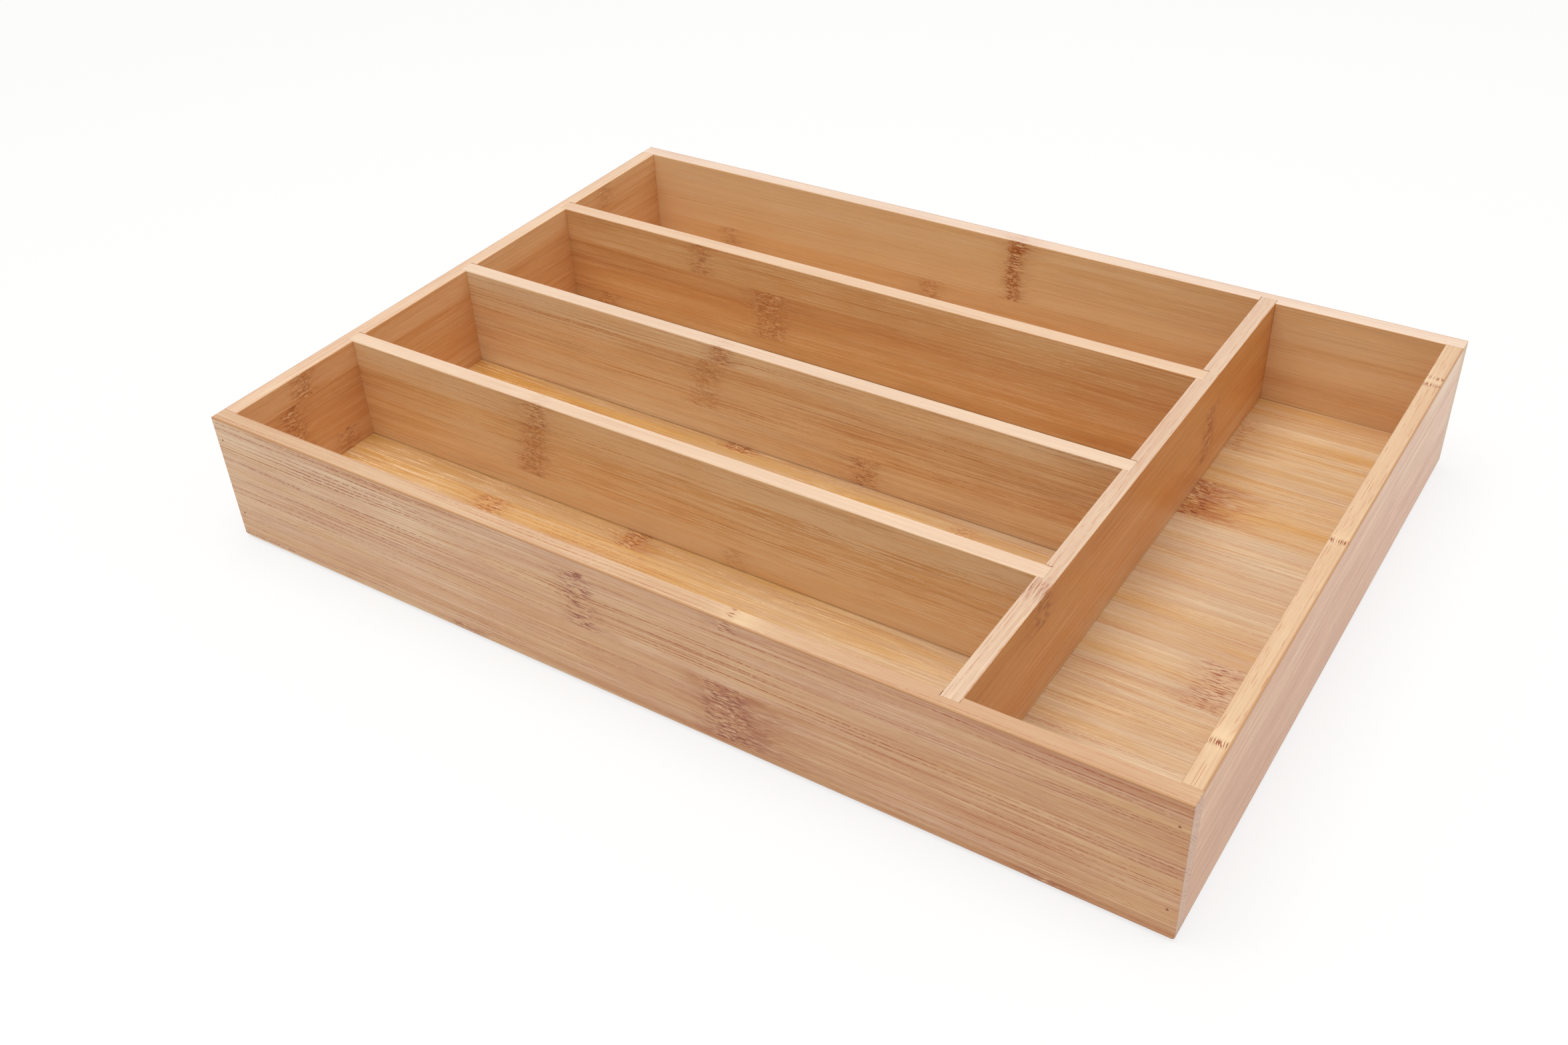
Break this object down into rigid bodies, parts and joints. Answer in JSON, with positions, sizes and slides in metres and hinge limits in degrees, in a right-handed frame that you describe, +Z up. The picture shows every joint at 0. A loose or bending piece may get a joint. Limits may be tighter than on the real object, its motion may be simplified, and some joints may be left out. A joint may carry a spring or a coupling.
{
  "type": "cutlery tray",
  "caption": "Open bamboo drawer tray that sorts cutlery: long parallel compartments and a crosswise compartment at the right end.",
  "frame": {"origin": "middle of the tray's footprint, on the surface that it rests on", "axes": "+X along the long compartments, towards the crosswise compartment; +Y from the front to the back; +Z up out of the open top"},
  "size_m": [0.35, 0.25, 0.051],
  "materials": {
    "outer_boards": "laminated bamboo, clear satin lacquer",
    "dividers": "laminated bamboo, clear satin lacquer",
    "floor": "laminated bamboo, clear satin lacquer",
    "pins": "steel pin nail, head toned brown"
  },
  "bodies": {
    "root": {"front_wall": "outer_boards", "back_wall": "outer_boards", "left_wall": "outer_boards", "right_wall": "outer_boards", "cross_divider": "dividers", "front_divider": "dividers", "middle_divider": "dividers", "rear_divider": "dividers", "base_panel": "floor", "front_left_pins": "pins", "front_right_pins": "pins", "back_left_pins": "pins", "back_right_pins": "pins"}
  },
  "joints": []
}
